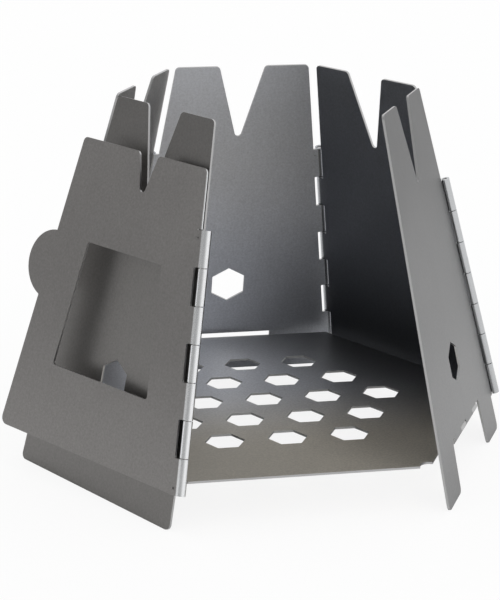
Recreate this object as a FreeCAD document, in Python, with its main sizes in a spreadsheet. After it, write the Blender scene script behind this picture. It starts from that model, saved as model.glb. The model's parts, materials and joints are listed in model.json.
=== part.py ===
"""Folding hexagonal twig stove: six hinged sheet walls, a hinged floor plate and six hinge pins.

Frame: millimetres, +Z up, +Y away from the doorway. The origin is on the ground, under the
centre of the ring of walls. Three of them reach the ground with the inner edges of their skirts.
"""
import FreeCAD, Part
import math
import os
import Sketcher

OUTPUT_FOLDER = "parts"

# Driving dimensions: millimetres, degrees and counts. Heights on a wall run up its slope
# from the lower end of the hinges.
SIZES = {
    "wall_side": (66.0, "side of the hexagon at the lower ends of the hinges, inner faces"),
    "wall_lean": (13.85, "inward lean of every wall, degrees"),
    "sheet_gauge": (0.6, "thickness of the sheet"),
    "hinge_length": (65.7, "length of a row of knuckles"),
    "knuckle_count": (7, "knuckles in a row"),
    "barrel_radius": (1.2, "outer radius of a rolled knuckle"),
    "pin_clearance": (0.05, "radial gap between a pin and its knuckles"),
    "pin_recess": (0.3, "how far a pin ends inside the row of knuckles"),
    "knuckle_gap": (0.25, "gap between one knuckle and the next"),
    "barrel_relief": (0.9, "gap between a wall's edge and its neighbour's knuckles"),
    "roll_angle": (291.0, "how far round a knuckle is rolled, degrees"),
    "stake_radius": (0.35, "radius of the punched mark that holds a pin"),
    "stake_depth": (0.3, "depth of the punched mark"),
    "stake_offset": (1.6, "punched mark beside the hinge line"),
    "stake_margin": (1.9, "punched mark from the end of the row of knuckles"),
    "prong_height": (91.7, "top of the prongs"),
    "prong_inset": (1.3, "prong edge behind the corner line"),
    "prong_round": (1.3, "rounding of the prong corners"),
    "notch_angle": (14.9, "slope of each side of the notch between the prongs, degrees"),
    "notch_bottom": (69.9, "lowest point of the notch"),
    "notch_root": (1.0, "radius at the bottom of the notch"),
    "skirt_drop": (9.7, "lower edge of the walls that reach the ground, below the hinges"),
    "short_skirt_drop": (3.8, "lower edge of the two plain walls, below the hinges"),
    "skirt_inset": (2.4, "skirt edge behind the corner line, beside the hinge"),
    "skirt_flare": (0.7, "how much wider the skirt is at its lower edge"),
    "skirt_round": (1.6, "rounding of the lower corners"),
    "air_hole_radius": (5.6, "corner radius of the hexagonal hole in a wall"),
    "air_hole_height": (20.4, "centre of that hole"),
    "tie_slot_length": (28.0, "long slot in a vented wall"),
    "tie_slot_width": (1.8, "height of that slot"),
    "tie_slot_height": (2.3, "centre of that slot"),
    "door_height": (79.8, "top of the door"),
    "door_notch_shift": (1.8, "notch of the door off its middle, towards the hinge"),
    "door_prong_inset": (0.3, "edge of the door above its hinge, behind the corner line"),
    "door_latch_inset": (0.2, "latch edge behind the corner line at the top of the door"),
    "door_latch_taper": (0.3, "latch edge further behind the corner line at its foot"),
    "door_foot_round": (2.0, "rounding of the door's lower latch corner"),
    "window_top": (53.7, "upper edge of the window"),
    "window_bottom": (20.1, "lower edge of the window"),
    "window_top_width": (26.6, "width of the window at its upper edge"),
    "window_bottom_width": (34.8, "width of the window at its lower edge"),
    "window_round": (0.8, "rounding of the window's corners"),
    "tab_radius": (9.2, "radius of the round latch tab"),
    "tab_chord": (17.8, "length of the tab along the latch edge"),
    "tab_height": (45.4, "middle of the tab"),
    "free_edge_inset": (0.7, "free edge behind the corner line at the top of the front right wall"),
    "free_edge_taper": (1.7, "free edge further behind the corner line beside the hinge"),
    "leg_arch_width": (32.4, "arch between the legs at its top"),
    "leg_arch_flare": (1.7, "how much wider the arch is on each side at its foot"),
    "leg_arch_top": (4.15, "height of the arch above the lower ends of the hinges"),
    "floor_gap": (2.15, "gap between the floor plate and the walls"),
    "floor_relief": (2.6, "radius of the two relieved corners beside the floor hinge"),
    "floor_corner_round": (1.0, "rounding of the other corners of the floor plate"),
    "floor_hole_radius": (5.4, "corner radius of a floor hole"),
    "floor_hole_pitch": (16.8, "distance between neighbouring floor holes"),
    "floor_barrel_radius": (1.0, "outer radius of the floor hinge's knuckles"),
    "floor_hinge_height": (3.05, "floor hinge line up the slope of the wall"),
    "floor_roll_angle": (280.0, "how far round a floor knuckle is rolled, degrees"),
    "wall_knuckle": (8.0, "length of a floor knuckle rolled from the wall, with its gap"),
    "plate_knuckle": (6.2, "length of a floor knuckle rolled from the plate, with its gap"),
    "door_open": (232.0, "turn of the door outwards from closed, at rest, degrees"),
}

# Walls by the direction that each faces, in degrees from +X, and which knuckles each
# side holds: "outer" has the ends of the row, "inner" lies between them.
WALL_FACES = {
    "rear_panel": 90.0,
    "rear_right_panel": 30.0,
    "front_right_panel": -30.0,
    "rear_left_panel": 150.0,
    "front_left_panel": 210.0,
    "door_panel": 270.0,
}
KNUCKLES = {
    "rear_panel": {1: "outer", -1: "outer"},
    "rear_right_panel": {1: "inner", -1: "inner"},
    "front_right_panel": {1: "outer"},
    "rear_left_panel": {1: "outer", -1: "inner"},
    "front_left_panel": {1: "inner", -1: "inner"},
    "door_panel": {-1: "outer"},
}
# Each pin by the direction of its corner from the centre.
PIN_CORNERS = {
    "rear_right_hinge_pin": 60.0,
    "rear_left_hinge_pin": 120.0,
    "right_hinge_pin": 0.0,
    "left_hinge_pin": 180.0,
    "door_hinge_pin": 240.0,
}


class Measure:
    """A length or number that knows both its value and the sheet expression it comes from."""

    def __init__(self, text, value):
        self.text = text
        self.value = value

    def __add__(self, other):
        other = measure(other)
        return Measure(f"({self.text} + {other.text})", self.value + other.value)

    def __sub__(self, other):
        other = measure(other)
        return Measure(f"({self.text} - {other.text})", self.value - other.value)

    def __mul__(self, other):
        other = measure(other)
        return Measure(f"({self.text} * {other.text})", self.value * other.value)

    def __truediv__(self, other):
        other = measure(other)
        return Measure(f"({self.text} / {other.text})", self.value / other.value)

    def __neg__(self):
        return Measure(f"(-1 * {self.text})", -self.value)

    __radd__ = __add__
    __rmul__ = __mul__

    def __rsub__(self, other):
        return measure(other) - self


def measure(number):
    """A Measure as it is, or a plain number as one."""
    if isinstance(number, Measure):
        return number
    return Measure(f"({number})", float(number))


def size(name):
    return Measure(f"Sizes.{name}", float(SIZES[name][0]))


def sine(degrees):
    degrees = measure(degrees)
    return Measure(f"sin({degrees.text} * 1 deg)", math.sin(math.radians(degrees.value)))


def cosine(degrees):
    degrees = measure(degrees)
    return Measure(f"cos({degrees.text} * 1 deg)", math.cos(math.radians(degrees.value)))


def root(number):
    return Measure(f"sqrt({number.text})", math.sqrt(number.value))


doc = FreeCAD.newDocument("twig_stove")
sheet = doc.addObject("Spreadsheet::Sheet", "Sizes")
for row, (alias, (number, meaning)) in enumerate(SIZES.items(), start=1):
    sheet.set(f"A{row}", meaning)
    sheet.set(f"B{row}", str(number))
    sheet.setAlias(f"B{row}", alias)
doc.recompute()

# Geometry that every wall shares, worked out once from the sizes.
lean = size("wall_lean")
gauge = size("sheet_gauge")
half_side = size("wall_side") / 2
apothem = half_side * cosine(30) / sine(30)
taper = sine(30) / cosine(30) * sine(lean)
slant = root(measure(1) + taper * taper)
edge_cosine = measure(1) / slant
edge_sine = taper / slant
bend_sine = cosine(lean) * sine(30)
bend_cosine = root(measure(1) - bend_sine * bend_sine)
barrel = size("barrel_radius")
axis_offset = barrel * bend_sine / bend_cosine
relief = barrel + size("barrel_relief")
knuckle_pitch = size("hinge_length") / size("knuckle_count")
hinge_top = size("hinge_length") * edge_cosine
skirt_bottom = -size("skirt_drop")
hinge_level = size("skirt_drop") * cosine(lean)
floor_barrel = size("floor_barrel_radius")
floor_bore = floor_barrel - gauge
floor_axis_depth = gauge - floor_barrel
floor_axis_reach = (
    apothem - size("floor_hinge_height") * sine(lean) + floor_axis_depth * cosine(lean)
)
floor_axis_level = size("floor_hinge_height") * cosine(lean) + floor_axis_depth * sine(lean)
floor_apothem = apothem - floor_axis_level * sine(lean) / cosine(lean) - size("floor_gap")
EDGE_ANGLE = math.degrees(math.atan(taper.value))


def corner_line(height):
    """Half the width of a wall's inner face, from its middle to the corner line."""
    return half_side - measure(height) * taper


def hinge_edge(height):
    """Edge of a wall beside its neighbour's knuckles."""
    return corner_line(height) + (axis_offset - relief) * slant


class Outline:
    """A closed sketch profile whose corners and arcs are pinned to sheet expressions."""

    def __init__(self, body, name, plane="XY_Plane"):
        self.sketch = body.newObject("Sketcher::SketchObject", name)
        planes = [feature for feature in body.Origin.OriginFeatures if feature.Role == plane]
        self.sketch.AttachmentSupport = [(planes[0], "")]
        self.sketch.MapMode = "FlatFace"

    def pin(self, geometry, point, kind, length):
        index = self.sketch.addConstraint(
            Sketcher.Constraint(kind, -1, 1, geometry, point, length.value)
        )
        self.sketch.setExpression(f"Constraints[{index}]", length.text)

    def draw(self, corners):
        """corners: (x, y) or (x, y, radius, turn): an arc then runs to the next corner,
        anticlockwise for a turn of 1 and clockwise for -1, the short way round."""
        points = [FreeCAD.Vector(measure(c[0]).value, measure(c[1]).value, 0) for c in corners]
        first = self.sketch.GeometryCount
        for index, corner in enumerate(corners):
            start = points[index]
            end = points[(index + 1) % len(points)]
            if len(corner) == 2:
                self.sketch.addGeometry(Part.LineSegment(start, end), False)
            else:
                self.sketch.addGeometry(self.arc(start, end, corner[2].value, corner[3]), False)
        for index, corner in enumerate(corners):
            here = first + index
            after = first + (index + 1) % len(corners)
            # An arc runs anticlockwise from point 1 to point 2, so a clockwise one is reversed.
            here_start = 2 if len(corner) > 2 and corner[3] < 0 else 1
            here_end = 3 - here_start
            following = corners[(index + 1) % len(corners)]
            after_start = 2 if len(following) > 2 and following[3] < 0 else 1
            self.sketch.addConstraint(
                Sketcher.Constraint("Coincident", here, here_end, after, after_start)
            )
            self.pin(here, here_start, "DistanceX", measure(corner[0]))
            self.pin(here, here_start, "DistanceY", measure(corner[1]))
            if len(corner) > 2:
                number = self.sketch.addConstraint(
                    Sketcher.Constraint("Radius", here, corner[2].value)
                )
                self.sketch.setExpression(f"Constraints[{number}]", corner[2].text)
        return self.sketch

    @staticmethod
    def arc(start, end, radius, turn):
        chord = end - start
        reach = math.sqrt(max(radius * radius - (chord.Length / 2) ** 2, 0.0))
        across = FreeCAD.Vector(-chord.y, chord.x, 0).normalize()
        centre = (start + end) * 0.5 + across * (reach * turn)
        circle = Part.Circle(centre, FreeCAD.Vector(0, 0, 1), radius)
        low, high = (start, end) if turn > 0 else (end, start)
        first = math.atan2(low.y - centre.y, low.x - centre.x)
        last = math.atan2(high.y - centre.y, high.x - centre.x)
        if last < first:
            last += 2 * math.pi
        return Part.ArcOfCircle(circle, first, last)


def new_body(label):
    body = doc.addObject("PartDesign::Body", label)
    body.Label = label
    return body


def finish_feature(body, feature):
    body.Tip = feature
    doc.recompute()
    return feature


def pad(body, sketch, length, name, reverse=False, merge_faces=True):
    feature = body.newObject("PartDesign::Pad", name)
    feature.Profile = sketch
    feature.setExpression("Length", length.text)
    feature.Reversed = reverse
    feature.Refine = merge_faces
    return finish_feature(body, feature)


def cut_through(body, sketch, name, merge_faces=True):
    """Pockets a sketch on the inner face right through the sheet, and checks that it cut."""
    before = body.Shape.Volume
    feature = body.newObject("PartDesign::Pocket", name)
    feature.Profile = sketch
    feature.Type = "ThroughAll"
    feature.Midplane = True
    feature.Refine = merge_faces
    finish_feature(body, feature)
    if not feature.Shape.Volume < before:
        raise RuntimeError(f"{name} cut nothing")
    return feature


def round_corners(body, places, radius, name):
    """Rounds the edges through the sheet at the given (x, y) places."""
    wanted = []
    for number, edge in enumerate(body.Shape.Edges, start=1):
        ends = [vertex.Point for vertex in edge.Vertexes]
        if len(ends) != 2:
            continue
        along = ends[1] - ends[0]
        if math.hypot(along.x, along.y) > 0.001:
            continue
        for x, y in places:
            if math.hypot(ends[0].x - measure(x).value, ends[0].y - measure(y).value) < 0.01:
                wanted.append(f"Edge{number}")
    if len(wanted) != len(places):
        raise RuntimeError(f"{name} found {len(wanted)} of {len(places)} corners")
    sheet_metal = body.Tip
    feature = body.newObject("PartDesign::Fillet", name)
    feature.Base = (sheet_metal, wanted)
    feature.setExpression("Radius", radius.text)
    return finish_feature(body, feature)


def hexagon(centre_x, centre_y, radius, first_corner):
    """Six corners of a regular hexagon, the first at the given angle in degrees."""
    return [
        (
            centre_x + radius * cosine(first_corner + 60 * corner),
            centre_y + radius * sine(first_corner + 60 * corner),
        )
        for corner in range(6)
    ]


def curl(centre, radius, angles, side, turn):
    """Corners of arcs about a centre through the given angles, mirrored for a side of -1."""
    corners = [
        (
            centre[0] + side * radius * cosine(angle),
            centre[1] + radius * sine(angle),
            radius,
            turn,
        )
        for angle in angles
    ]
    return corners[:-1] + [corners[-1][:2]]


def rectangle(low_x, low_y, high_x, high_y):
    return [(low_x, low_y), (high_x, low_y), (high_x, high_y), (low_x, high_y)]


def notch(top, shift):
    """The notch between two prongs, from its right to its left upper corner."""
    angle = size("notch_angle")
    radius = size("notch_root")
    side = radius * cosine(angle)
    tangent = size("notch_bottom") + radius - radius * sine(angle)
    half_width = side + (top - tangent) * sine(angle) / cosine(angle)
    return [
        (shift + half_width, top),
        (shift + side, tangent, radius, -1),
        (shift - side, tangent),
        (shift - half_width, top),
    ]


def hinge_side(side, top, inset):
    """Edge of a wall beside a hinge, from the lower end up to the prong's top corner."""
    prong_low = corner_line(hinge_top) - inset
    prong_high = corner_line(top) - inset
    return [
        (side * hinge_edge(0), measure(0)),
        (side * hinge_edge(hinge_top), hinge_top),
        (side * prong_low, hinge_top),
        (side * prong_high, top),
    ]


def skirt_side(side, drop):
    """Edge of a wall below its hinge, from the lower corner up."""
    beside = half_side - size("skirt_inset")
    flare = size("skirt_flare") * drop / size("skirt_drop")
    return [
        (side * (beside + flare), -drop),
        (side * beside, measure(0)),
    ]


def roll_knuckles(body, side, ends, name):
    """Rolls one side's knuckles: a tongue of the sheet that runs into an open curl, repeated."""
    bore = barrel - gauge
    closing = size("roll_angle") - 90
    tongue = relief + gauge
    profile = Outline(body, f"{name}_profile", "XZ_Plane")
    edge = profile.sketch
    edge.AttachmentOffset = FreeCAD.Placement(
        FreeCAD.Vector(0, 0, 0), FreeCAD.Rotation(FreeCAD.Vector(0, 1, 0), side * EDGE_ANGLE)
    )
    first_step = 0 if ends == "outer" else 1
    start = knuckle_pitch * first_step + size("knuckle_gap") / 2
    axis_x = (half_side + axis_offset * edge_cosine) * side
    along = start
    edge.setExpression("AttachmentOffset.Base.x", (axis_x - side * along * edge_sine).text)
    edge.setExpression("AttachmentOffset.Base.y", "0")
    edge.setExpression(
        "AttachmentOffset.Base.z", (-(axis_offset * edge_sine + along * edge_cosine)).text
    )
    middle = (measure(0), barrel)
    profile.draw(
        [(-side * tongue, measure(0))]
        + curl(middle, barrel, [-90, 0, 90, closing], side, side)
        + curl(middle, bore, [closing, 90, 0, -90], side, -side)
        + [(-side * tongue, gauge)]
    )
    doc.recompute()
    feature = pad(body, edge, knuckle_pitch - size("knuckle_gap"), f"{name}_first", reverse=True)
    row = body.newObject("PartDesign::LinearPattern", f"{name}_row")
    row.Originals = [feature]
    row.Direction = (edge, ["N_Axis"])
    row.Reversed = True
    copies = "(Sizes.knuckle_count + 1) / 2" if ends == "outer" else "(Sizes.knuckle_count - 1) / 2"
    steps = "(Sizes.knuckle_count - 1)" if ends == "outer" else "(Sizes.knuckle_count - 3)"
    row.setExpression("Length", f"{steps} * {knuckle_pitch.text}")
    row.setExpression("Occurrences", copies)
    return finish_feature(body, row)


def hinge_frame(side, along):
    """A point on a wall's own hinge axis and the axis direction, in the wall's frame."""
    direction = FreeCAD.Vector(-side * edge_sine.value, edge_cosine.value, 0)
    start = FreeCAD.Vector(
        side * (half_side.value + axis_offset.value * edge_cosine.value),
        axis_offset.value * edge_sine.value,
        barrel.value,
    )
    return start + direction * along, direction


def stake_mark(body, side, name):
    """Punched marks that hold the pin, on the inner face at both ends of the row."""
    before = body.Shape.Volume
    feature = body.newObject("PartDesign::Pocket", name)
    mark = Outline(body, f"{name}_profile")
    radius = size("stake_radius")
    inward = axis_offset - size("stake_offset")
    for along in (size("stake_margin"), size("hinge_length") - size("stake_margin")):
        x = side * (half_side + inward * edge_cosine - along * edge_sine)
        y = inward * edge_sine + along * edge_cosine
        circle = mark.sketch.addGeometry(
            Part.Circle(FreeCAD.Vector(x.value, y.value, 0), FreeCAD.Vector(0, 0, 1), radius.value)
        )
        mark.pin(circle, 3, "DistanceX", x)
        mark.pin(circle, 3, "DistanceY", y)
        number = mark.sketch.addConstraint(Sketcher.Constraint("Radius", circle, radius.value))
        mark.sketch.setExpression(f"Constraints[{number}]", radius.text)
    doc.recompute()
    feature.Profile = mark.sketch
    feature.Reversed = True
    feature.setExpression("Length", size("stake_depth").text)
    finish_feature(body, feature)
    if not feature.Shape.Volume < before:
        raise RuntimeError(f"{name} cut nothing")
    return feature


def add_hinges(body, label):
    for side, ends in KNUCKLES[label].items():
        hand = "left" if side < 0 else "right"
        roll_knuckles(body, side, ends, f"{label}_{hand}_knuckles")
        if ends == "outer":
            stake_mark(body, side, f"{label}_{hand}_stakes")


def air_hole(body, label):
    hole = Outline(body, f"{label}_air_hole_profile")
    hole.draw(hexagon(measure(0), size("air_hole_height"), size("air_hole_radius"), 90))
    doc.recompute()
    return cut_through(body, hole.sketch, f"{label}_air_hole")


def slot(body, label, length, width, middle):
    opening = Outline(body, f"{label}_slot_profile")
    opening.draw(
        rectangle(-length / 2, middle - width / 2, length / 2, middle + width / 2)
    )
    doc.recompute()
    return cut_through(body, opening.sketch, f"{label}_slot")


def plain_wall(label, vented):
    """A wall with two hinges, a skirt and two prongs; a vented one has a hole and a slot too."""
    top = size("prong_height")
    body = new_body(label)
    profile = Outline(body, f"{label}_profile")
    inset = size("prong_inset")
    drop = size("skirt_drop") if vented else size("short_skirt_drop")
    right = skirt_side(1, drop) + hinge_side(1, top, inset)
    left = skirt_side(-1, drop) + hinge_side(-1, top, inset)
    profile.draw(right + notch(top, measure(0)) + left[::-1])
    doc.recompute()
    pad(body, profile.sketch, gauge, f"{label}_sheet")
    upper = [right[-1], left[-1], notch(top, measure(0))[0], notch(top, measure(0))[-1]]
    round_corners(body, upper, size("prong_round"), f"{label}_prong_rounds")
    round_corners(body, [right[0], left[0]], size("skirt_round"), f"{label}_skirt_rounds")
    if vented:
        air_hole(body, label)
        slot(body, label, size("tie_slot_length"), size("tie_slot_width"), size("tie_slot_height"))
    add_hinges(body, label)
    return body


def floor_knuckle_row(body, name, profile, wall_side):
    """Repeats a floor knuckle: the wall's and the plate's take turns along the hinge line."""
    pitch = size("wall_knuckle") + size("plate_knuckle")
    own = size("wall_knuckle") if wall_side else size("plate_knuckle")
    start = -pitch if wall_side else size("wall_knuckle") - pitch
    profile.sketch.setExpression("AttachmentOffset.Base.z", (start + size("knuckle_gap") / 2).text)
    doc.recompute()
    # The plate's upper face stays a face of its own, apart from the knuckles' tongues.
    first = pad(
        body, profile.sketch, own - size("knuckle_gap"), f"{name}_first", merge_faces=wall_side
    )
    row = body.newObject("PartDesign::LinearPattern", f"{name}_row")
    row.Originals = [first]
    row.Direction = (profile.sketch, ["N_Axis"])
    row.setExpression("Length", pitch.text)
    row.Occurrences = 2
    row.Refine = wall_side
    return finish_feature(body, row)


def add_floor_knuckles(body, label):
    """Tongues that run on down from the wall's outer face and are rolled inwards."""
    profile = Outline(body, f"{label}_floor_knuckle_profile", "YZ_Plane")
    middle = (size("floor_hinge_height"), floor_axis_depth)
    closing = size("floor_roll_angle") + 90
    rim_angles = [measure(90), measure(180), measure(270), closing]
    root_y = size("leg_arch_top") + gauge
    profile.draw(
        [(root_y, gauge)]
        + curl(middle, floor_barrel, rim_angles, 1, 1)
        + curl(middle, floor_bore, rim_angles[::-1], 1, -1)
        + [(root_y, measure(0))]
    )
    return floor_knuckle_row(body, f"{label}_floor_knuckles", profile, True)


def add_plate_knuckles(body, label):
    """Tongues that run out under the floor hinge line and are rolled up and back in."""
    # The hinge line lies at -floor_axis_reach along Y, level with the body's origin.
    profile = Outline(body, f"{label}_knuckle_profile", "YZ_Plane")
    middle = (-floor_axis_reach, measure(0))
    closing = -90 - size("floor_roll_angle")
    rim_angles = [measure(-90), measure(-180), measure(-270), closing]
    root_y = -(floor_apothem - gauge)
    profile.draw(
        [(root_y, -floor_barrel)]
        + curl(middle, floor_barrel, rim_angles, 1, -1)
        + curl(middle, floor_bore, rim_angles[::-1], 1, 1)
        + [(root_y, -floor_bore)]
    )
    return floor_knuckle_row(body, f"{label}_knuckles", profile, False)


def front_right_wall(label):
    """The wall on two legs: a free edge at the doorway, an arch and the floor's knuckles."""
    top = size("prong_height")
    body = new_body(label)
    arch_half = size("leg_arch_width") / 2
    arch_foot = arch_half + size("leg_arch_flare")
    arch_top = size("leg_arch_top")
    inset_low = size("free_edge_inset") + size("free_edge_taper")
    inset_top = size("free_edge_inset")
    high = corner_line(top) - inset_top
    edge_slope = (half_side - inset_low - high) / top
    low = high + (top + size("skirt_drop")) * edge_slope
    right = skirt_side(1, size("skirt_drop")) + hinge_side(1, top, size("prong_inset"))
    free_edge = [(-high, top), (-low, skirt_bottom)]
    arch = [(-arch_foot, skirt_bottom), (-arch_half, arch_top), (arch_half, arch_top)]
    arch.append((arch_foot, skirt_bottom))
    profile = Outline(body, f"{label}_profile")
    profile.draw(right + notch(top, measure(0)) + free_edge + arch)
    doc.recompute()
    pad(body, profile.sketch, gauge, f"{label}_sheet")
    upper = [right[-1], free_edge[0], notch(top, measure(0))[0], notch(top, measure(0))[-1]]
    round_corners(body, upper, size("prong_round"), f"{label}_prong_rounds")
    feet = [right[0], free_edge[1], arch[0], arch[3]]
    round_corners(body, feet, size("skirt_round"), f"{label}_leg_rounds")
    air_hole(body, label)
    add_floor_knuckles(body, label)
    add_hinges(body, label)
    return body


def latch_line(height):
    """Latch edge of the door at a height."""
    lowering = measure(1) - measure(height) / size("door_height")
    inset = size("door_latch_inset") + size("door_latch_taper") * lowering
    return corner_line(height) - inset


def door(label):
    """The door: shorter than the walls, with a window, a round latch tab and no skirt."""
    top = size("door_height")
    body = new_body(label)
    tab_low = size("tab_height") - size("tab_chord") / 2
    tab_high = size("tab_height") + size("tab_chord") / 2
    left = hinge_side(-1, top, size("door_prong_inset"))
    cut = notch(top, -size("door_notch_shift"))
    latch = [
        (latch_line(0), measure(0)),
        (latch_line(tab_low), tab_low, size("tab_radius"), 1),
        (latch_line(tab_high), tab_high),
        (latch_line(top), top),
    ]
    profile = Outline(body, f"{label}_profile")
    profile.draw(latch + cut + left[::-1])
    doc.recompute()
    pad(body, profile.sketch, gauge, f"{label}_sheet")
    upper = [latch[-1], left[-1], cut[0], cut[-1]]
    round_corners(body, upper, size("prong_round"), f"{label}_prong_rounds")
    round_corners(body, [latch[0]], size("door_foot_round"), f"{label}_foot_round")
    half_top = size("window_top_width") / 2
    half_low = size("window_bottom_width") / 2
    window = [
        (-half_low, size("window_bottom")),
        (half_low, size("window_bottom")),
        (half_top, size("window_top")),
        (-half_top, size("window_top")),
    ]
    opening = Outline(body, f"{label}_window_profile")
    opening.draw(window)
    doc.recompute()
    cut_through(body, opening.sketch, f"{label}_window")
    round_corners(body, window, size("window_round"), f"{label}_window_rounds")
    add_hinges(body, label)
    return body


def floor(label):
    """The floor plate: a hexagon with nineteen hexagonal holes and knuckles on one side."""
    body = new_body(label)
    corner_radius = floor_apothem / cosine(30)
    corners = hexagon(measure(0), measure(0), corner_radius, 0)
    profile = Outline(body, f"{label}_profile")
    profile.sketch.setExpression("AttachmentOffset.Base.z", (-floor_barrel).text)
    profile.draw(corners)
    doc.recompute()
    pad(body, profile.sketch, gauge, f"{label}_sheet")
    round_corners(body, corners[0:4], size("floor_corner_round"), f"{label}_corner_rounds")
    reliefs = Outline(body, f"{label}_relief_profile")
    for corner in corners[4:6]:
        circle = reliefs.sketch.addGeometry(
            Part.Circle(
                FreeCAD.Vector(corner[0].value, corner[1].value, 0),
                FreeCAD.Vector(0, 0, 1),
                size("floor_relief").value,
            )
        )
        reliefs.pin(circle, 3, "DistanceX", corner[0])
        reliefs.pin(circle, 3, "DistanceY", corner[1])
        number = reliefs.sketch.addConstraint(
            Sketcher.Constraint("Radius", circle, size("floor_relief").value)
        )
        reliefs.sketch.setExpression(f"Constraints[{number}]", size("floor_relief").text)
    doc.recompute()
    cut_through(body, reliefs.sketch, f"{label}_reliefs")
    middle = Outline(body, f"{label}_middle_hole_profile")
    radius = size("floor_hole_radius")
    middle.draw(hexagon(measure(0), measure(0), radius, 0))
    doc.recompute()
    cut_through(body, middle.sketch, f"{label}_middle_hole")
    # Two rings of holes about the middle one: six, then twelve at two distances.
    pitch = size("floor_hole_pitch")
    rings = {"near": (pitch, 0), "flat": (pitch * 2 * cosine(30), 30), "far": (pitch * 2, 0)}
    turn_axis = [f for f in body.Origin.OriginFeatures if f.Role == "Z_Axis"][0]
    for ring, (distance, angle) in rings.items():
        hole = Outline(body, f"{label}_{ring}_hole_profile")
        hole.draw(hexagon(distance * cosine(angle), distance * sine(angle), radius, 0))
        doc.recompute()
        first = cut_through(body, hole.sketch, f"{label}_{ring}_hole")
        before = body.Shape.Volume
        pattern = body.newObject("PartDesign::PolarPattern", f"{label}_{ring}_ring")
        pattern.Originals = [first]
        pattern.Axis = (turn_axis, [""])
        pattern.Angle = 360
        pattern.Occurrences = 6
        finish_feature(body, pattern)
        if not pattern.Shape.Volume < before:
            raise RuntimeError(f"{label}_{ring}_ring cut nothing")
    add_plate_knuckles(body, label)
    return body


def pin(label, bore, row_length):
    """A pin that ends a little inside the row of knuckles it runs through."""
    cylinder = doc.addObject("Part::Cylinder", label)
    cylinder.Label = label
    cylinder.setExpression("Radius", (bore - size("pin_clearance")).text)
    cylinder.setExpression("Height", (row_length - size("pin_recess") * 2).text)
    return cylinder


def wall_placement(face):
    """A wall's own frame: X along its foot, Y up its slope, Z out of its outer face."""
    angle = math.radians(face)
    tilt = math.radians(lean.value)
    outward = FreeCAD.Vector(math.cos(angle), math.sin(angle), 0)
    along = FreeCAD.Vector(-math.sin(angle), math.cos(angle), 0)
    upward = outward * -math.sin(tilt) + FreeCAD.Vector(0, 0, math.cos(tilt))
    normal = outward * math.cos(tilt) + FreeCAD.Vector(0, 0, math.sin(tilt))
    rotation = FreeCAD.Rotation(along, upward, normal, "ZXY")
    foot = outward * apothem.value + FreeCAD.Vector(0, 0, hinge_level.value)
    return FreeCAD.Placement(foot, rotation)


def turn_about(point, direction, degrees):
    turning = FreeCAD.Rotation(direction, degrees)
    return FreeCAD.Placement(point - turning.multVec(point), turning)


def corner_axis(face, side):
    """A hinge axis in the stove's frame: its lower end and its direction."""
    placement = wall_placement(face)
    start, direction = hinge_frame(side, 0.0)
    return placement.multVec(start), placement.Rotation.multVec(direction)


walls = {
    "rear_panel": plain_wall("rear_panel", True),
    "rear_right_panel": plain_wall("rear_right_panel", False),
    "rear_left_panel": plain_wall("rear_left_panel", False),
    "front_left_panel": plain_wall("front_left_panel", True),
    "front_right_panel": front_right_wall("front_right_panel"),
    "door_panel": door("door_panel"),
}
for label, body in walls.items():
    body.Placement = wall_placement(WALL_FACES[label])

# The door stands open, folded back towards the front left wall, and its pin goes with it.
door_foot, door_direction = corner_axis(WALL_FACES["door_panel"], -1)
opened = turn_about(door_foot, door_direction, -SIZES["door_open"][0])
walls["door_panel"].Placement = opened * wall_placement(WALL_FACES["door_panel"])

floor_plate = floor("floor_plate")
floor_face = math.radians(WALL_FACES["front_right_panel"])
toward_wall = FreeCAD.Vector(math.cos(floor_face), math.sin(floor_face), 0)
along_wall = FreeCAD.Vector(-math.sin(floor_face), math.cos(floor_face), 0)
level = FreeCAD.Placement(
    FreeCAD.Vector(0, 0, (hinge_level + floor_axis_level).value),
    FreeCAD.Rotation(along_wall, toward_wall * -1, FreeCAD.Vector(0, 0, 1), "ZXY"),
)
floor_plate.Placement = level

pins = {}
for label, corner in PIN_CORNERS.items():
    pins[label] = pin(label, barrel - gauge, size("hinge_length"))
    foot, direction = corner_axis(corner + 30, -1)
    upright = FreeCAD.Rotation(FreeCAD.Vector(0, 0, 1), direction)
    pins[label].Placement = FreeCAD.Placement(
        foot + direction * SIZES["pin_recess"][0], upright
    )
floor_row = (size("wall_knuckle") + size("plate_knuckle")) * 2
pins["floor_hinge_pin"] = pin("floor_hinge_pin", floor_bore, floor_row)
pin_start = SIZES["pin_recess"][0] - floor_row.value / 2
pins["floor_hinge_pin"].Placement = FreeCAD.Placement(
    toward_wall * floor_axis_reach.value
    + FreeCAD.Vector(0, 0, (hinge_level + floor_axis_level).value)
    + along_wall * pin_start,
    FreeCAD.Rotation(FreeCAD.Vector(0, 0, 1), along_wall),
)
doc.recompute()

pieces = {**walls, "floor_plate": floor_plate, **pins}
for item in doc.Objects:
    if "Invalid" in item.State or "Error" in item.State:
        raise RuntimeError(f"{item.Name} is {item.State}")
for label, piece in pieces.items():
    if piece.Shape.isNull() or not piece.Shape.isValid() or len(piece.Shape.Solids) != 1:
        raise RuntimeError(f"{label} has no single valid solid")

os.makedirs(OUTPUT_FOLDER, exist_ok=True)
for label, piece in pieces.items():
    piece.Shape.exportStep(os.path.join(OUTPUT_FOLDER, f"{label}.step"))
    print(f"{label}: {piece.Shape.Volume:.1f} mm3")
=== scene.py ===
import json
import math

import bpy
from mathutils import Matrix, Vector

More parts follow.
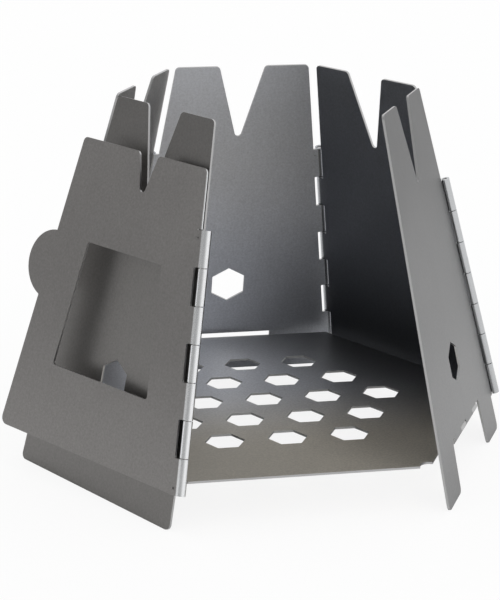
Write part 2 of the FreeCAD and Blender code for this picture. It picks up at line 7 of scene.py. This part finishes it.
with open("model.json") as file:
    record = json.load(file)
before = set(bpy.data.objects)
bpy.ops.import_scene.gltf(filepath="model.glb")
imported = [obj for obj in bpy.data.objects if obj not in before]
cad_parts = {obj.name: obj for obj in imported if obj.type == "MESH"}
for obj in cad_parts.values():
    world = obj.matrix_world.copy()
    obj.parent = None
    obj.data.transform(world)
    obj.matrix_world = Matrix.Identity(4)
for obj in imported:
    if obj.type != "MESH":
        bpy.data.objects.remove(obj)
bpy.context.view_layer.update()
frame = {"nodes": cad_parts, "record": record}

# The photograph's camera, solved from the stove's edges: metres, degrees and pixels.
CAMERA_PLACE = Vector((-0.10858, -0.48068, 0.19592))
CAMERA_YAW = -11.406
CAMERA_PITCH = -17.506
CAMERA_ROLL = 0.719
CLIP_START = 0.01
CLIP_END = 20
FOCAL_PX = 1892.98
AXIS_PX = (224.12, 299.72)
IMAGE_PX = (500, 600)
SENSOR_MM = 36.0

# The stove's geometry, as in its source: metres and degrees. Each wall has the direction
# that it faces when the ring is shut, and the hinges whose knuckles it has a share of.
WALL_LEAN = 13.85
DOOR_OPEN = 232.0
BARREL_RADIUS = 0.0012
WALL_FACES = {
    "rear_panel": 90.0,
    "rear_right_panel": 30.0,
    "front_right_panel": -30.0,
    "rear_left_panel": 150.0,
    "front_left_panel": 210.0,
    "door_panel": 270.0,
}
WALL_JOINTS = {
    "rear_panel": ("rear_right_hinge", "rear_left_hinge"),
    "rear_right_panel": ("rear_right_hinge", "right_hinge"),
    "front_right_panel": ("right_hinge",),
    "rear_left_panel": ("rear_left_hinge", "left_hinge"),
    "front_left_panel": ("left_hinge", "door_hinge"),
    "door_panel": ("door_hinge",),
    "floor_plate": (),
}
# The plate lies flat, and its rolling lines run along its hinge.
PLATE_NORMAL = Vector((0, 0, 1))
PLATE_LINES_WAY = Vector((0.5, 0.866, 0))

# Base colour of the burnished knuckles along each hinge, with painted light: a painted highlight on
# the door hinge and painted shade on the rear hinges.
KNUCKLE_BURNISH_AND_PAINTED_LIGHT = {
    "rear_right_hinge": (0.40, 0.41, 0.43, 1.0),
    "rear_left_hinge": (0.40, 0.41, 0.43, 1.0),
    "right_hinge": (0.56, 0.57, 0.58, 1.0),
    "left_hinge": (0.50, 0.50, 0.50, 1.0),
    "door_hinge": (0.86, 0.87, 0.88, 1.0),
}
# Base colour of each sheet's outer and inner face, as linear reflectance: the titanium's tone with
# painted light and shade, each face lighter or darker as the light falls on it.
SHEET_TONES_WITH_PAINTED_LIGHT = {
    "rear_panel": ((0.290, 0.288, 0.288), (0.660, 0.675, 0.715)),
    "rear_right_panel": ((0.290, 0.290, 0.292), (0.300, 0.315, 0.345)),
    "front_right_panel": ((0.290, 0.290, 0.292), (0.400, 0.400, 0.400)),
    "rear_left_panel": ((0.290, 0.286, 0.280), (0.680, 0.665, 0.650)),
    "front_left_panel": ((0.280, 0.272, 0.264), (0.430, 0.425, 0.420)),
    "door_panel": ((0.310, 0.302, 0.295), (0.310, 0.300, 0.293)),
    "floor_plate": ((0.640, 0.600, 0.525), (0.640, 0.600, 0.525)),
}
# Painted light and shade on one face of a sheet: how light it is at its foot, in the middle and at
# its top, as the light falls there.
# It is the inner face for a side of -1, the outer one for a side of 1. The heights are in metres.
PAINTED_SHEET_SHADES = {
    "rear_panel": (-1, (0.98, 1.18, 0.86)),
    "rear_right_panel": (-1, (0.30, 0.58, 0.76)),
    "front_right_panel": (1, (0.97, 0.72, 0.50)),
    "front_left_panel": (1, (0.87, 0.85, 0.72)),
    "door_panel": (-1, (0.97, 0.84, 1.0)),
}
PLAIN_SHADE = (1, (1.0, 1.0, 1.0))
SHADE_HEIGHTS = (0.010, 0.050, 0.090)
# The plate's tint changes from its front edge to the back. A painted shade darkens it towards the
# rear right wall and a little towards the door, with a little painted light between. The last two
# reaches lie along
# PLATE_PAINTED_SHADE_WAY: from where, to where, and the shade at either end.
PLATE_BACK_TONE = (0.660, 0.672, 0.705, 1.0)
PLATE_TINT_REACH = (-0.035, 0.015)
PLATE_PAINTED_SHADE_WAY = (0.866, 0.5, 0.0)
PLATE_WALL_PAINTED_SHADE_REACH = (0.010, 0.052, 1.12, 0.36)
PLATE_DOOR_PAINTED_SHADE_REACH = (-0.045, -0.005, 0.68, 1.0)
# A painted highlight along the sheets' cut edges.
EDGE_PAINTED_HIGHLIGHT = (0.52, 0.52, 0.52, 1.0)
SHEET_ROUGHNESS = {"floor_plate": 0.50}
PLAIN_ROUGHNESS = 0.40
KNUCKLE_POLISH = -0.18

# Noise in the metal: scale per metre, detail and roughness. The rolling lines take their
# scale from the stretched place instead: across them, along them and through the sheet.
GRAIN = (1700.0, 2.0, 0.7)
MOTTLE = (55.0, 3.0, 0.55)
ROLLING_LINES = (1.0, 3.0, 0.6)
LINES_SCALES = (1400.0, 45.0, 45.0)
TARNISH = (300.0, 3.0)
WIRE_GRAIN = (4000.0,)
NOISE_MEAN = 0.5
# How much each noise changes the tone, the roughness and the relief.
GRAIN_IN_TONE = 0.50
LINES_IN_TONE = 0.07
MOTTLE_IN_TONE = 0.12
GRAIN_IN_ROUGHNESS = 0.10
MOTTLE_IN_ROUGHNESS = 0.10
LINES_IN_RELIEF = 0.35
SHEET_BUMP = 0.20
PIN_BUMP = 0.15
BUMP_DISTANCE = 0.00002

# Masks: how squarely a surface faces along the sheet's normal where the sheet's face
# begins and where one side gives way to the other, and where the knuckles end, as a
# share of their radius.
FACE_ONSET = (0.80, 0.97)
SIDE_ONSET = 0.5
KNUCKLE_END = (1.05, 1.2)

# The pins' base colour, and how tarnish changes it and the roughness.
PIN_TONE = (0.55, 0.54, 0.53)
TARNISH_TONE_REACH = (0.3, 0.7, 0.8, 1.1)
TARNISH_ROUGHNESS_REACH = (0.2, 0.8, 0.2, 0.4)

# The studio: the share of plain white in the floor that the camera sees, and the sky's
# level from its dimmest side to its lightest.
FLOOR_REACH = 4.0
FLOOR_TONE = (0.96, 0.96, 0.96, 1.0)
FLOOR_WHITE_SHARE = 0.88
WHITE = (1.0, 1.0, 1.0, 1.0)
SKY_WAY = (0.94, 0.34, 0.0)
SKY_REACH = (-0.9, 0.35, 0.38, 0.95)


def photo_camera():
    """The camera at the photograph's place, with its framing shift."""
    data = bpy.data.cameras.new("photo_camera")
    long_side = max(IMAGE_PX)
    data.sensor_width = SENSOR_MM
    data.lens = FOCAL_PX * SENSOR_MM / long_side
    data.shift_x = (IMAGE_PX[0] / 2 - AXIS_PX[0]) / long_side
    data.shift_y = (AXIS_PX[1] - IMAGE_PX[1] / 2) / long_side
    data.clip_start = CLIP_START
    data.clip_end = CLIP_END
    camera = bpy.data.objects.new("photo_camera", data)
    bpy.context.scene.collection.objects.link(camera)
    yaw, pitch, roll = (math.radians(a) for a in (CAMERA_YAW, CAMERA_PITCH, CAMERA_ROLL))
    forward = Vector((
        -math.sin(yaw) * math.cos(pitch),
        math.cos(yaw) * math.cos(pitch),
        math.sin(pitch),
    ))
    level = Vector((math.cos(yaw), math.sin(yaw), 0))
    upright = level.cross(forward)
    right = level * math.cos(roll) + upright * math.sin(roll)
    up = right.cross(forward)
    turn = Matrix((right, up, -forward)).transposed()
    camera.matrix_world = Matrix.Translation(CAMERA_PLACE) @ turn.to_4x4()
    bpy.context.scene.camera = camera


class Nodes:
    """Short calls for building a node tree."""

    # A Mix node's sockets share their names, so its colour ones go by number.
    MIX_FACTOR, MIX_FIRST, MIX_SECOND, MIX_RESULT = 0, 6, 7, 2
    SCALAR_OPERATIONS = ("DOT_PRODUCT", "LENGTH")

    def __init__(self, tree):
        self.tree = tree

    def node(self, kind, values=None, **settings):
        made = self.tree.nodes.new(kind)
        for name, value in settings.items():
            setattr(made, name, value)
        for name, value in (values or {}).items():
            self.feed(made.inputs[name], value)
        return made

    def feed(self, socket, value):
        if isinstance(value, bpy.types.NodeSocket):
            self.tree.links.new(value, socket)
        else:
            socket.default_value = value

    def math(self, operation, *values):
        made = self.node("ShaderNodeMath", dict(enumerate(values)), operation=operation)
        return made.outputs[0]

    def vector(self, operation, *values):
        made = self.node("ShaderNodeVectorMath", dict(enumerate(values)), operation=operation)
        return made.outputs["Value" if operation in self.SCALAR_OPERATIONS else "Vector"]

    def ramp(self, value, low, high, start=0.0, end=1.0):
        """A smooth step from start to end as the value goes from low to high."""
        made = self.node(
            "ShaderNodeMapRange",
            {"Value": value, "From Min": low, "From Max": high, "To Min": start, "To Max": end},
            interpolation_type="SMOOTHSTEP",
        )
        return made.outputs["Result"]

    def mix(self, factor, first, second):
        made = self.node("ShaderNodeMix", data_type="RGBA")
        self.feed(made.inputs[self.MIX_FACTOR], factor)
        self.feed(made.inputs[self.MIX_FIRST], first)
        self.feed(made.inputs[self.MIX_SECOND], second)
        return made.outputs[self.MIX_RESULT]

    def grey(self, level):
        return self.node("ShaderNodeCombineXYZ", {0: level, 1: level, 2: level}).outputs[0]

    def scale_colour(self, colour, factor):
        return self.vector("MULTIPLY", colour, self.grey(factor))

    def noise(self, place, scale, detail=2.0, roughness=0.5):
        made = self.node(
            "ShaderNodeTexNoise",
            {"Vector": place, "Scale": scale, "Detail": detail, "Roughness": roughness},
        )
        return made.outputs[0]

    def sway(self, value, noise, amount):
        """The value, changed up and down by a noise."""
        return self.math("MULTIPLY_ADD", self.math("SUBTRACT", noise, NOISE_MEAN), amount, value)

    def bump(self, strength, height):
        values = {"Strength": strength, "Distance": BUMP_DISTANCE, "Height": height}
        return self.node("ShaderNodeBump", values).outputs[0]


def turned(vector, axis, degrees):
    return Matrix.Rotation(math.radians(degrees), 3, axis) @ vector


def joint_line(name):
    """A point on a joint's axis and the axis's direction, from the record."""
    for joint in frame["record"]["behaviour"]["joints"]:
        if joint["name"] == name:
            return Vector(joint["pos_m"]), Vector(joint["axis"]).normalized()
    raise ValueError(name)


def sheet_directions(name):
    """A sheet's outward normal and the way of its rolling lines, at rest: as photographed."""
    if name == "floor_plate":
        return PLATE_NORMAL, PLATE_LINES_WAY
    face = math.radians(WALL_FACES[name])
    lean = math.radians(WALL_LEAN)
    outward = Vector((math.cos(face), math.sin(face), 0))
    normal = outward * math.cos(lean) + Vector((0, 0, math.sin(lean)))
    upward = Vector((0, 0, math.cos(lean))) - outward * math.sin(lean)
    if name == "door_panel":
        _, axis = joint_line("door_hinge")
        normal, upward = (turned(v, axis, DOOR_OPEN) for v in (normal, upward))
    return normal, upward


def rolling_lines(nodes, place, normal, lines_way):
    """Faint lines along the sheet: the place is stretched along that direction."""
    ways = (normal.cross(lines_way), lines_way, normal)
    stretched = {
        slot: nodes.math("MULTIPLY", nodes.vector("DOT_PRODUCT", place, way), scale)
        for slot, (way, scale) in enumerate(zip(ways, LINES_SCALES))
    }
    return nodes.noise(nodes.node("ShaderNodeCombineXYZ", stretched).outputs[0], *ROLLING_LINES)


def painted_face_shade(nodes, name, height, turn):
    """The painted light and shade on the sheet's shaded face at each height; its other face has a
    shade of 1.
    """
    side, (foot_shade, middle_shade, top_shade) = PAINTED_SHEET_SHADES.get(name, PLAIN_SHADE)
    foot, middle, top = SHADE_HEIGHTS
    lower = nodes.ramp(height, foot, middle, foot_shade, middle_shade)
    upper = nodes.ramp(height, middle, top, 0.0, top_shade - middle_shade)
    shade = nodes.math("ADD", lower, upper)
    on_side = nodes.ramp(turn, -SIDE_ONSET * side, SIDE_ONSET * side)
    return nodes.math("MULTIPLY_ADD", on_side, nodes.math("SUBTRACT", shade, 1.0), 1.0)


def plate_painted_shade(nodes, place):
    """Painted shade on the plate: darker towards the rear right wall and the door, lighter between.
    """
    along = nodes.vector("DOT_PRODUCT", place, PLATE_PAINTED_SHADE_WAY)
    to_wall = nodes.ramp(along, *PLATE_WALL_PAINTED_SHADE_REACH)
    to_door = nodes.ramp(along, *PLATE_DOOR_PAINTED_SHADE_REACH)
    return nodes.math("MULTIPLY", to_wall, to_door)


def on_knuckles(nodes, place, joint):
    """1 on the knuckles round a hinge's axis and 0 beyond them."""
    point, axis = joint_line(joint)
    offset = nodes.vector("SUBTRACT", place, tuple(point))
    radius = nodes.vector("LENGTH", nodes.vector("CROSS_PRODUCT", offset, tuple(axis)))
    low, high = (BARREL_RADIUS * share for share in KNUCKLE_END)
    return nodes.ramp(radius, low, high, 1.0, 0.0)


def new_material(name):
    material = bpy.data.materials.new(name)
    material.use_nodes = True
    shader = material.node_tree.nodes["Principled BSDF"]
    shader.inputs["Metallic"].default_value = 1.0
    return material, Nodes(material.node_tree), shader


def sheet_material(name):
    """Satin titanium: fine grain, faint rolling lines, painted light and shade on its faces, a
    painted highlight on the cut edges and burnished knuckles with painted light.
    """
    material, nodes, shader = new_material(f"titanium_{name}")
    coordinates = nodes.node("ShaderNodeTexCoord")
    place = coordinates.outputs["Object"]
    parts = nodes.node("ShaderNodeSeparateXYZ", {0: place})
    normal, lines_way = sheet_directions(name)
    turn = nodes.vector("DOT_PRODUCT", coordinates.outputs["Normal"], tuple(normal))
    grain = nodes.noise(place, *GRAIN)
    lines = rolling_lines(nodes, place, normal, lines_way)
    mottle = nodes.noise(place, *MOTTLE)

    outer_tone, inner_tone = (tone + (1.0,) for tone in SHEET_TONES_WITH_PAINTED_LIGHT[name])
    # The two faces' tones carry painted light and shade.
    colour = nodes.mix(nodes.ramp(turn, -SIDE_ONSET, SIDE_ONSET), inner_tone, outer_tone)
    tone = nodes.sway(1.0, grain, GRAIN_IN_TONE)
    tone = nodes.sway(tone, lines, LINES_IN_TONE)
    tone = nodes.sway(tone, mottle, MOTTLE_IN_TONE)
    # Painted light and shade by height on one face.
    tone = nodes.math("MULTIPLY", tone, painted_face_shade(nodes, name, parts.outputs["Z"], turn))
    if name == "floor_plate":
        towards_back = nodes.ramp(parts.outputs["Y"], *PLATE_TINT_REACH)
        colour = nodes.mix(towards_back, colour, PLATE_BACK_TONE)
        # Painted shade on the plate near the rear right wall and the door.
        tone = nodes.math("MULTIPLY", tone, plate_painted_shade(nodes, place))
    colour = nodes.scale_colour(colour, tone)
    # The cut edges get a painted highlight.
    on_face = nodes.ramp(nodes.math("ABSOLUTE", turn), *FACE_ONSET)
    colour = nodes.mix(on_face, EDGE_PAINTED_HIGHLIGHT, colour)

    rough = nodes.sway(SHEET_ROUGHNESS.get(name, PLAIN_ROUGHNESS), mottle, MOTTLE_IN_ROUGHNESS)
    for joint in WALL_JOINTS[name]:
        near = on_knuckles(nodes, place, joint)
        # The knuckles' tone: burnished metal with painted light and shade, lighter or darker per
        # hinge.
        colour = nodes.mix(near, colour, KNUCKLE_BURNISH_AND_PAINTED_LIGHT[joint])
        rough = nodes.math("MULTIPLY_ADD", near, KNUCKLE_POLISH, rough)
    nodes.feed(shader.inputs["Base Color"], colour)
    nodes.feed(shader.inputs["Roughness"], nodes.sway(rough, grain, GRAIN_IN_ROUGHNESS))
    relief = nodes.math("MULTIPLY_ADD", lines, LINES_IN_RELIEF, grain)
    nodes.feed(shader.inputs["Normal"], nodes.bump(SHEET_BUMP, relief))
    return material


def pin_material():
    """Drawn wire with a fine grain and a little tarnish."""
    material, nodes, shader = new_material("pin_wire")
    place = nodes.node("ShaderNodeTexCoord").outputs["Object"]
    tarnish = nodes.noise(place, *TARNISH)
    colour = nodes.scale_colour(PIN_TONE, nodes.ramp(tarnish, *TARNISH_TONE_REACH))
    nodes.feed(shader.inputs["Base Color"], colour)
    nodes.feed(shader.inputs["Roughness"], nodes.ramp(tarnish, *TARNISH_ROUGHNESS_REACH))
    relief = nodes.noise(place, *WIRE_GRAIN)
    nodes.feed(shader.inputs["Normal"], nodes.bump(PIN_BUMP, relief))
    return material


def background_rays(nodes):
    """1 for the rays that see the white background itself, and 1 for those that light the floor."""
    rays = nodes.node("ShaderNodeLightPath").outputs
    straight = nodes.math("MAXIMUM", rays["Is Camera Ray"], rays["Is Transmission Ray"])
    return straight, rays["Is Diffuse Ray"]


def pale_floor():
    """A diffuse floor that keeps the stove's shadow and looks nearly white to the camera."""
    mesh = bpy.data.meshes.new("floor")
    corners = [
        (-FLOOR_REACH, -FLOOR_REACH, 0),
        (FLOOR_REACH, -FLOOR_REACH, 0),
        (FLOOR_REACH, FLOOR_REACH, 0),
        (-FLOOR_REACH, FLOOR_REACH, 0),
    ]
    mesh.from_pydata(corners, [], [(0, 1, 2, 3)])
    ground = bpy.data.objects.new("floor", mesh)
    bpy.context.scene.collection.objects.link(ground)
    material = bpy.data.materials.new("pale_floor")
    material.use_nodes = True
    nodes = Nodes(material.node_tree)
    nodes.tree.nodes.clear()
    diffuse = nodes.node("ShaderNodeBsdfDiffuse", {"Color": FLOOR_TONE})
    glow = nodes.node("ShaderNodeEmission", {"Color": WHITE, "Strength": 1.0})
    straight, _ = background_rays(nodes)
    share = nodes.math("MULTIPLY", straight, FLOOR_WHITE_SHARE)
    blend = nodes.node("ShaderNodeMixShader", {0: share, 1: diffuse.outputs[0], 2: glow.outputs[0]})
    nodes.node("ShaderNodeOutputMaterial", {"Surface": blend.outputs[0]})
    mesh.materials.append(material)


def soft_sky():
    """A soft even sky, a little dimmer on the left, and white where it lights the floor."""
    world = bpy.data.worlds.new("studio")
    bpy.context.scene.world = world
    world.use_nodes = True
    nodes = Nodes(world.node_tree)
    direction = nodes.node("ShaderNodeTexCoord").outputs["Generated"]
    shade = nodes.ramp(nodes.vector("DOT_PRODUCT", direction, SKY_WAY), *SKY_REACH)
    straight, scattered = background_rays(nodes)
    level = nodes.math("MAXIMUM", shade, nodes.math("MAXIMUM", straight, scattered))
    background = world.node_tree.nodes["Background"]
    nodes.feed(background.inputs["Color"], nodes.grey(level))
    background.inputs["Strength"].default_value = 1.0


photo_camera()
pale_floor()
soft_sky()
bpy.context.scene.view_settings.view_transform = "Standard"

pins = pin_material()
for name, node in frame["nodes"].items():
    material = sheet_material(name) if name in SHEET_TONES_WITH_PAINTED_LIGHT else pins
    for slot in node.material_slots:
        slot.material = material
